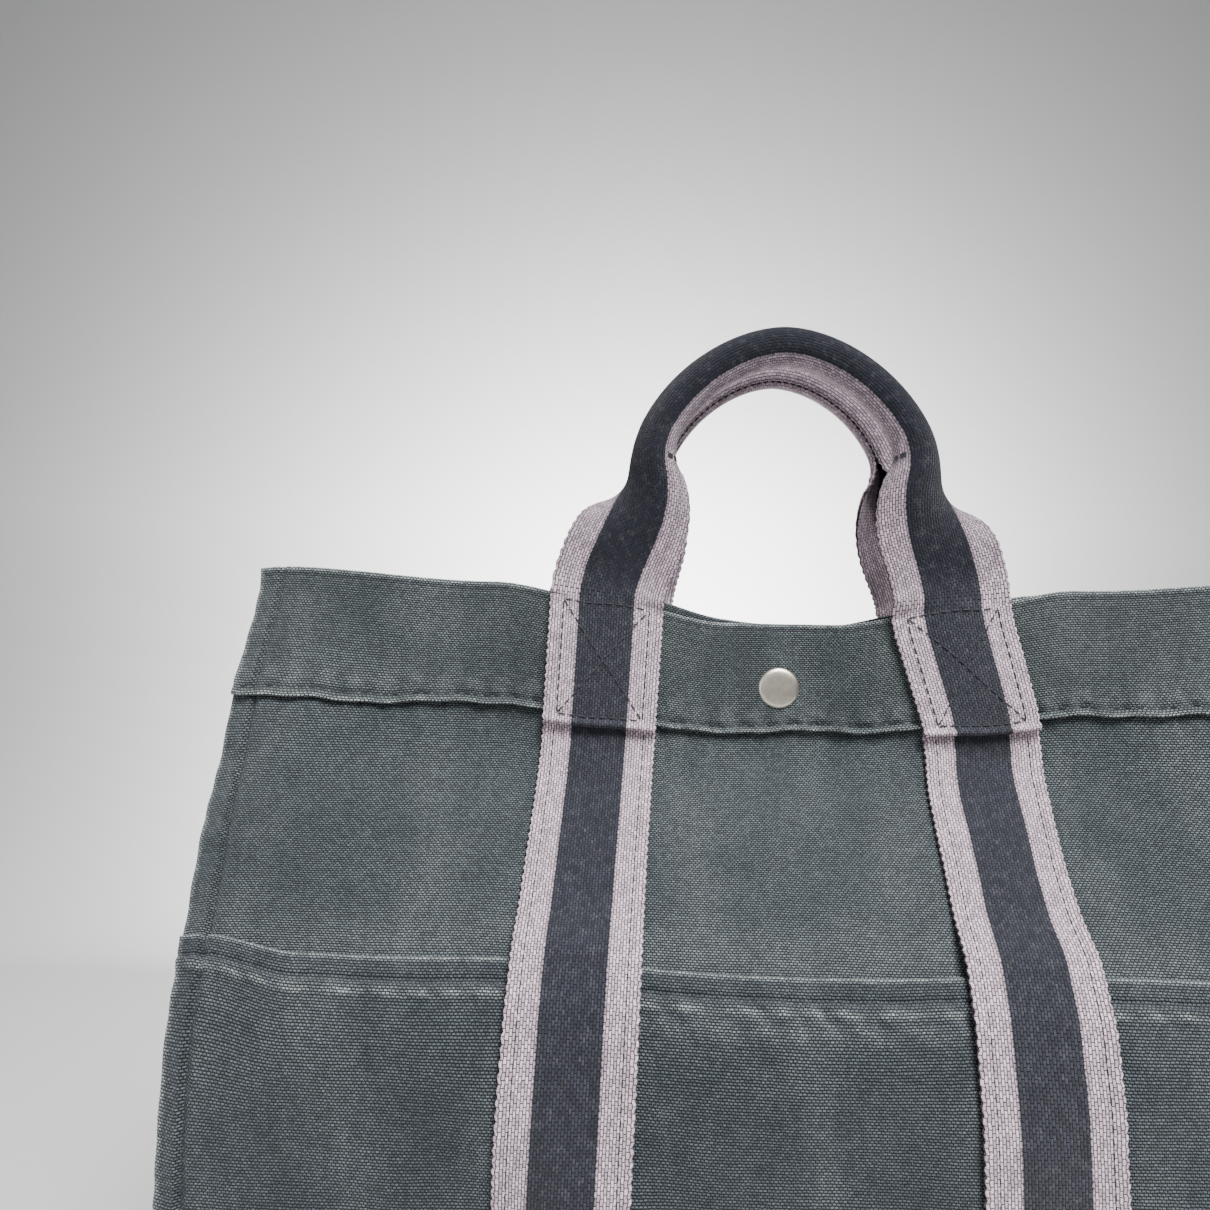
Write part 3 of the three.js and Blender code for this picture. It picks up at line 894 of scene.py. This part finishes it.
def side_point(k, v, n, half):
    """Left side above the fold line: k from the crease (0) to the corner seam (1), n outward."""
    u = v - FOLD_Z
    corner = wall(np.full_like(v, -SIDE_X), v, -1.9)
    sag = 2.5 * np.sin(np.pi * k) * smooth(u / 60) * (1 - smooth((u - 90) / 60))
    inner_x = crease_x(u)
    depth = inner_x + SIDE_X
    width = -corner[..., 1]
    slant = np.hypot(depth, width)
    middle_x = inner_x + (-SIDE_X + 0.6 - inner_x) * k
    sink = along(MOUTH_SAG, middle_x) - along(MOUTH_SAG, SIDE_X) + 1.5 * (1 - k)
    z = corner[..., 2] - sink * np.clip(u / UPPER, 0, None) ** SAG_POWER
    x = middle_x - n * width / slant + sag * 0.6
    y = 0.5 + (width - 0.5) * k - n * depth / slant * smooth(k * 4)
    return np.stack([x, half * y, z], -1)


def make_sides(materials):
    for hand, turn in (("left", unturned), ("right", turn_half)):
        make_lower_side(hand, turn, materials)
        for half, name in ((-1, "front"), (1, "back")):
            if hand == "right":
                name = {"front": "back", "back": "front"}[name]
            make_fold(hand, name, half, turn, materials)


def make_lower_side(hand, turn, materials):
    reach = SIDE_REACH

    def place(y, z, n):
        bow = 5.0 * (1 - (y / reach) ** 2) * np.sin(np.pi * np.clip(z / 215, 0, 1))
        ruck = 0.7 * np.sin(y * 0.12 + z * 0.05) * np.sin(z * 0.06 + 1)
        x = -SIDE_X + 1.0 + (bow + ruck) * smooth(z / 30) * smooth((FOLD_Z - z) / 30 + 0.3) - n
        return turn(np.stack([x, -y, z], -1))

    gusset = sheet(
        f"{hand}_side_panel", lines(-reach, reach, 3.0), lines(FLOOR_GAP, FOLD_Z + 1, 3.0),
        place, constant(0.0, 1.2), materials["canvas"],
    )
    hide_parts(f"{hand}_gusset_lower")
    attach(gusset, "shell")


def blend_side(obj):
    """Bakes the piece's placement into its mesh."""
    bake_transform(obj)


def make_fold(hand, name, half, turn, materials):
    def place(k, v, n):
        return turn(side_point(np.abs(k), v, n, half))

    ks = lines(0.0, 1.0, 0.05, edge=0.04)
    if half > 0:
        ks = -ks[::-1]
    vs = lines(FOLD_Z - 7, TOP_V - 0.5, 3.0)
    fold = sheet(f"{hand}_{name}_fold", ks, vs, place, constant(-0.4, 0.8), materials["canvas"], edge=0.01)
    scale_uv(fold, HALF_DEPTH)
    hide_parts(f"{hand}_gusset_{name}_fold")
    blend_side(fold)
    band = sheet(
        f"{hand}_{name}_fold_band", ks, lines(BAND_V, TOP_V, 1.5), place,
        constant(1.0, 2.4), materials["trim"], band_wear_side, edge=0.01,
    )
    scale_uv(band, HALF_DEPTH)
    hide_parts(f"{hand}_gusset_{name}_band")
    blend_side(band)


def band_wear_side(k, v):
    return edge_wear(v, BAND_V, 2.5) + 0.8 * edge_wear(v, TOP_V, 2.5)


def scale_uv(obj, width):
    layer = obj.data.uv_layers["UVMap"].data
    uv = np.zeros(len(layer) * 2, np.float32)
    layer.foreach_get("uv", uv)
    uv[0::2] *= width
    layer.foreach_set("uv", uv)


def make_seams(materials):
    """The side cloth's half of each pinched corner seam, behind the front or back panel's half."""
    for side in ("front", "back"):
        for hand, sign in hands(side):
            place = facing(side)
            xs = sign * lines(SIDE_X - 0.5, SEAM_X - 0.3, 1.2)
            xs = np.sort(xs)
            vs = lines(FLOOR_GAP, TOP_V - 1, 2.5)
            seam = sheet(
                f"{side}_seam_{hand}", xs, vs, place,
                constant(-2.7, -1.35), materials["canvas"], panel_wear,
            )
            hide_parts(f"{side}_seam_{hand}_lower", f"{side}_seam_{hand}_upper")
            bend_over_fold(seam)


def make_base(materials):
    def flat(x, y, n):
        return np.stack([x, y, FLOOR_GAP + n], -1)

    reach = HALF_DEPTH - 1.7
    base = sheet(
        "base_cloth", lines(-SIDE_X + 2, SIDE_X - 2, 4.0), lines(-reach, reach, 4.0),
        flat, constant(0.0, 1.2), materials["canvas"],
    )
    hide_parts("base_panel")
    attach(base, "shell")
    reach = HALF_DEPTH + 4.4
    for hand, sign in (("left", -1), ("right", 1)):
        def under(x, y, n, sign=sign):
            return np.stack([sign * STRAP_LOW_X + x, y, n], -1)

        strap = sheet(
            f"base_webbing_{hand}", lines(-STRAP / 2, STRAP / 2, 1.5, edge=0.8), lines(-reach, reach, 2.0),
            under, constant(0.05, 1.85), materials["webbing"], strap_wear, edge=0.8,
        )
        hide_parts(f"base_strap_{hand}")
        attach(strap, "shell")


# --- Stitching -------------------------------------------------------------------------------

def between_straps(x, v):
    """The stretches of a cross line that no strap covers."""
    clear = x[np.minimum(np.abs(x - strap_x(v, -1)), np.abs(x - strap_x(v, 1))) > STRAP / 2 + 0.5]
    return np.split(clear, np.where(np.diff(clear) > 4)[0] + 1)


def cloth_runs(side):
    """Topstitching of the pocket hem and the corner seams."""
    place = pocket_place(side)
    height = RIDGE_V + HEM_STITCH
    runs = []
    long = np.linspace(-SEAM_X + 3, SEAM_X - 3, 260)
    hem_n = pocket_layer(long, np.full_like(long, height))[1]
    for part in between_straps(long, HEM_V):
        n = np.interp(part, long, hem_n) + 0.05
        runs.append(run_on(place, part, np.full_like(part, height), n))
    for sign in (-1, 1):
        v = np.linspace(FLOOR_GAP + 4, HEM_V, 120)
        layer = pocket_layer(np.full_like(v, sign * SEAM_STITCH_X), v)[1]
        runs.append(run_on(place, np.full_like(v, sign * SEAM_STITCH_X), v, layer + 0.05))
        v = np.linspace(HEM_V + 2, BAND_V - 1, 50)
        runs.append(run_on(place, np.full_like(v, sign * SEAM_STITCH_X), v, 0.05))
    return runs


def band_runs(side):
    place = band_place(side)
    runs = []
    x = np.linspace(-SEAM_X + 3, SEAM_X - 3, 260)
    for height in (BAND_V + BAND_LOW_STITCH, TOP_V - BAND_TOP_STITCH):
        for part in between_straps(x, height):
            n = band_layer(part, np.full_like(part, height))[1] + 0.05
            runs.append(run_on(place, part, np.full_like(part, height), n))
    for sign in (-1, 1):
        v = np.linspace(BAND_V + 1, TOP_V - 3, 40)
        n = band_layer(np.full_like(v, sign * SEAM_STITCH_X), v)[1] + 0.05
        runs.append(run_on(place, np.full_like(v, sign * SEAM_STITCH_X), v, n))
    return runs


def strap_runs(side):
    runs = []
    for _, sign in hands(side):
        on_wall = strap_place(side, sign)
        v = np.linspace(FLOOR_GAP + 3, FOLD_Z + TAB_END - 1, 200)
        for c in (-STRAP_STITCH, STRAP_STITCH):
            across = np.full_like(v, c)
            runs.append(run_on(on_wall, across, v, strap_layer(across, v)[1] + 0.08))
    return runs


def tab_runs(side):
    """The box with a cross in it that holds each handle end on the band."""
    turn = turning(side)
    runs = []
    low, high = -TAB_LENGTH + 4.5, -1.5
    half = 15.4
    lift = TAB_LIFT + WEB_THICKNESS / 2 + 0.12
    corners = {
        "bottom": ((-half, low), (half, low)), "top": ((-half, high), (half, high)),
        "left": ((-half, low), (-half, high)), "right": ((half, low), (half, high)),
        "rising": ((-half, low), (half, high)), "falling": ((-half, high), (half, low)),
    }
    for sign in (-1, 1):
        def place(x, v, n, sign=sign):
            return turn(tab_surface(sign, x, v, n))

        for (x0, v0), (x1, v1) in corners.values():
            k = np.linspace(0, 1, 30)
            runs.append(run_on(place, x0 + (x1 - x0) * k, v0 + (v1 - v0) * k, lift))
    return runs


def make_stitching(side, materials):
    cloth = stitches(f"{side}_pocket_stitching", cloth_runs(side), materials["dark_thread"])
    strap = stitches(f"{side}_strap_stitching", strap_runs(side), materials["dark_thread"])
    for obj, slot in ((cloth, "canvas"), (strap, "webbing")):
        bend_over_fold(obj)
    band = stitches(f"{side}_band_stitching", band_runs(side), materials["dark_thread"])
    tabs = stitches(f"{side}_box_stitching", tab_runs(side), materials["dark_thread"])
    for obj, slot in ((band, "canvas"), (tabs, "webbing")):
        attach(obj, f"{side}_wall")


# --- Snap ------------------------------------------------------------------------------------

def turned(name, rows, y, z, sign, material):
    """Metal piece turned about a line along Y, from (radius, outward distance) rows."""
    sides = 64
    angle = np.arange(sides) * 2 * math.pi / sides
    points = []
    faces = []
    for radius, out in rows:
        depth = np.full(sides, y + sign * out)
        points.append(np.stack([radius * np.cos(angle), depth, z + radius * np.sin(angle)], -1))
    for ring in range(len(rows) - 1):
        for k in range(sides):
            p = ring * sides + k
            q = ring * sides + (k + 1) % sides
            face = (p, q, q + sides, p + sides)
            faces.append(face if sign > 0 else face[::-1])
    points = np.concatenate(points)
    zero = np.zeros(len(points))
    obj = make_mesh(name, points, faces, np.stack([zero, zero], -1), zero, material)
    return obj


def make_snap(materials):
    """Domed caps on both outsides."""
    cap_rows = (
        (0.01, 1.55), (2.0, 1.56), (4.6, 1.52), (5.9, 1.42), (6.8, 1.2),
        (7.3, 0.85), (SNAP_RADIUS, 0.4), (7.4, 0.05), (6.6, -0.2), (0.01, -0.2),
    )
    face = wall(0.0, TOP_V - SNAP_DROP, 2.1)
    z = float(face[2])
    y = float(face[1])
    front = turned("front_snap_cap", cap_rows, y, z, -1, materials["nickel"])
    back = turned("back_snap_cap", cap_rows, -y, z, 1, materials["nickel"])
    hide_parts("snap_cap")
    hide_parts("snap_post_cap")
    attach(front, "front_wall")
    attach(back, "back_wall")
    for name in ("snap_socket", "snap_stud"):
        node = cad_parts[name]
        node.data.materials.clear()
        node.data.materials.append(materials["nickel"])


# --- Light, floor and camera -----------------------------------------------------------------

def make_studio():
    """A pale floor that curves up into a pale backdrop."""
    xs = np.linspace(-3.0, 3.0, 3)
    arc = np.linspace(0, math.pi / 2, 24)
    radius = 0.5
    depth = 0.55
    run = [(-2.5, 0.0), (depth, 0.0)]
    run += [(depth + radius * math.sin(a), radius - radius * math.cos(a)) for a in arc[1:]]
    run += [(depth + radius, 3.2)]
    points = [(x, y, z) for y, z in run for x in xs]
    faces = []
    for row in range(len(run) - 1):
        for k in range(len(xs) - 1):
            p = row * len(xs) + k
            faces.append((p, p + 1, p + 1 + len(xs), p + len(xs)))
    mesh = bpy.data.meshes.new("floor")
    mesh.from_pydata(points, [], faces)
    mesh.polygons.foreach_set("use_smooth", np.ones(len(faces), bool))
    mesh.materials.append(plain_material("paper_sweep", linear(232, 232, 231)))
    floor = bpy.data.objects.new("floor", mesh)
    bpy.context.scene.collection.objects.link(floor)


def area_light(name, place, target, size, power, spread=math.pi):
    data = bpy.data.lights.new(name, "AREA")
    data.shape = "DISK"
    data.size = size
    data.energy = power
    data.spread = spread
    light = bpy.data.objects.new(name, data)
    light.location = place
    aim = Vector(target) - Vector(place)
    light.rotation_euler = aim.to_track_quat("-Z", "Y").to_euler()
    bpy.context.scene.collection.objects.link(light)


def make_lights():
    area_light("key", (0.3, -0.85, 1.45), (0, -0.05, 0.25), 0.8, 8.8, spread=math.radians(70))
    area_light("fill", (-1.2, -0.9, 0.5), (0, 0, 0.25), 1.0, 5)
    area_light("backdrop_glow", (-0.02, 0.5, 0.22), (-0.04, 1.05, 0.24), 0.35, 26)
    world = bpy.data.worlds.new("studio")
    world.use_nodes = True
    world.node_tree.nodes["Background"].inputs["Color"].default_value = (0.9, 0.93, 1.0, 1)
    world.node_tree.nodes["Background"].inputs["Strength"].default_value = 0.12
    bpy.context.scene.world = world


def make_camera():
    """Close, level view from slightly left of the middle, at the height of the band."""
    data = bpy.data.cameras.new("camera")
    data.sensor_width = 36
    data.lens = 27.0
    camera = bpy.data.objects.new("camera", data)
    yaw, pitch, roll = 0.038, 0.042, 0.019
    forward = Vector((-math.sin(yaw) * math.cos(pitch), math.cos(yaw) * math.cos(pitch), math.sin(pitch)))
    right = Vector((math.cos(yaw), math.sin(yaw), 0))
    up = right.cross(forward)
    tilted = right * math.cos(roll) + up * math.sin(roll)
    up = up * math.cos(roll) - right * math.sin(roll)
    rotation = Matrix((tilted, up, -forward)).transposed()
    camera.matrix_world = Matrix.Translation((-0.0516, -0.3458, 0.3126)) @ rotation.to_4x4()
    bpy.context.scene.collection.objects.link(camera)
    bpy.context.scene.camera = camera


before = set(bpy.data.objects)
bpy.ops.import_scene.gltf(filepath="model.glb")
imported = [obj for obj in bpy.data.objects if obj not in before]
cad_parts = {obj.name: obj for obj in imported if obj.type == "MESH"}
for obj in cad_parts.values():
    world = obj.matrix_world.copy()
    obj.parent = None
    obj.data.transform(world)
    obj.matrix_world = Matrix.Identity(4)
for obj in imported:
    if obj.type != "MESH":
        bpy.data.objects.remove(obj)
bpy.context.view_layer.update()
HANDLE = handle_path()
MATERIALS = make_materials()
for SIDE in ("front", "back"):
    make_panel(SIDE, MATERIALS)
    make_pocket(SIDE, MATERIALS)
    make_band(SIDE, MATERIALS)
    make_straps(SIDE, MATERIALS)
    make_handle(SIDE, MATERIALS)
    make_stitching(SIDE, MATERIALS)
make_sides(MATERIALS)
make_seams(MATERIALS)
make_base(MATERIALS)
make_snap(MATERIALS)
make_studio()
make_lights()
make_camera()
